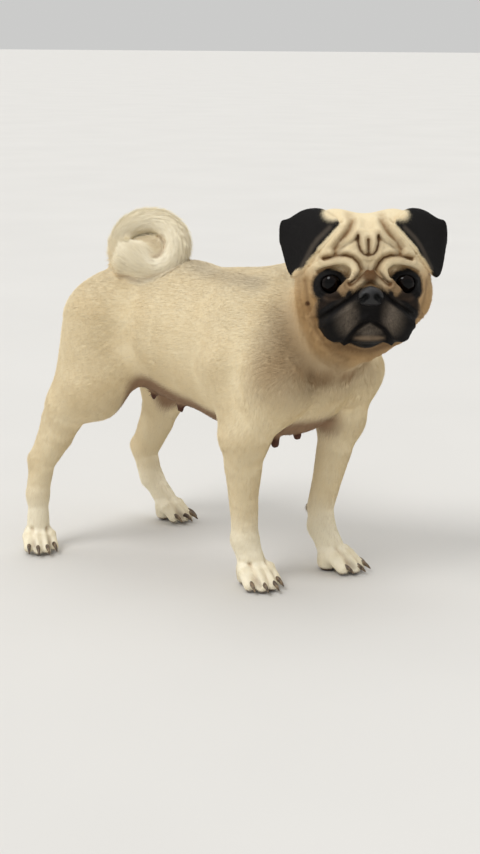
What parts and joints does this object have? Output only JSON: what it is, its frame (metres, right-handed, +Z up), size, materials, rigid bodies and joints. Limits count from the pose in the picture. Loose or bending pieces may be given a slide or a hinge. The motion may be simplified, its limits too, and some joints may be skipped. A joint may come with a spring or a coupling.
{
  "type": "pug dog",
  "caption": "Standing adult fawn pug with a black mask and ears, head turned to its right and tail curled over the croup, as a still life-size museum piece.",
  "frame": {"origin": "middle of the footprint of the whole animal, on the floor its soles stand on", "axes": "+X is forward along the trunk, +Y is the animal's left, +Z is up"},
  "size_m": [0.4104, 0.2048, 0.3582],
  "materials": {
    "coat": "short fawn fur",
    "ear_velvet": "short black fur",
    "nose_leather": "moist, fine grained",
    "claw_horn": "dark horn",
    "eye_gloss": "wet, glossy"
  },
  "bodies": {
    "root": {"claw_front_left_1": "claw_horn", "claw_front_left_2": "claw_horn", "claw_front_left_3": "claw_horn", "claw_front_left_4": "claw_horn", "claw_front_right_1": "claw_horn", "claw_front_right_2": "claw_horn", "claw_front_right_3": "claw_horn", "claw_front_right_4": "claw_horn", "claw_hind_left_1": "claw_horn", "claw_hind_left_2": "claw_horn", "claw_hind_left_3": "claw_horn", "claw_hind_left_4": "claw_horn", "claw_hind_right_1": "claw_horn", "claw_hind_right_2": "claw_horn", "claw_hind_right_3": "claw_horn", "claw_hind_right_4": "claw_horn", "ear_left": "ear_velvet", "ear_right": "ear_velvet", "eye_left": "eye_gloss", "eye_right": "eye_gloss", "foreleg_left": "coat", "foreleg_right": "coat", "head": "coat", "neck": "coat", "nose": "nose_leather", "paw_front_left": "coat", "paw_front_right": "coat", "paw_hind_left": "coat", "paw_hind_right": "coat", "shank_left": "coat", "shank_right": "coat", "tail_curl": "coat", "tail_root": "coat", "tail_tip": "coat", "thigh_left": "coat", "thigh_right": "coat", "torso": "coat"}
  },
  "joints": []
}
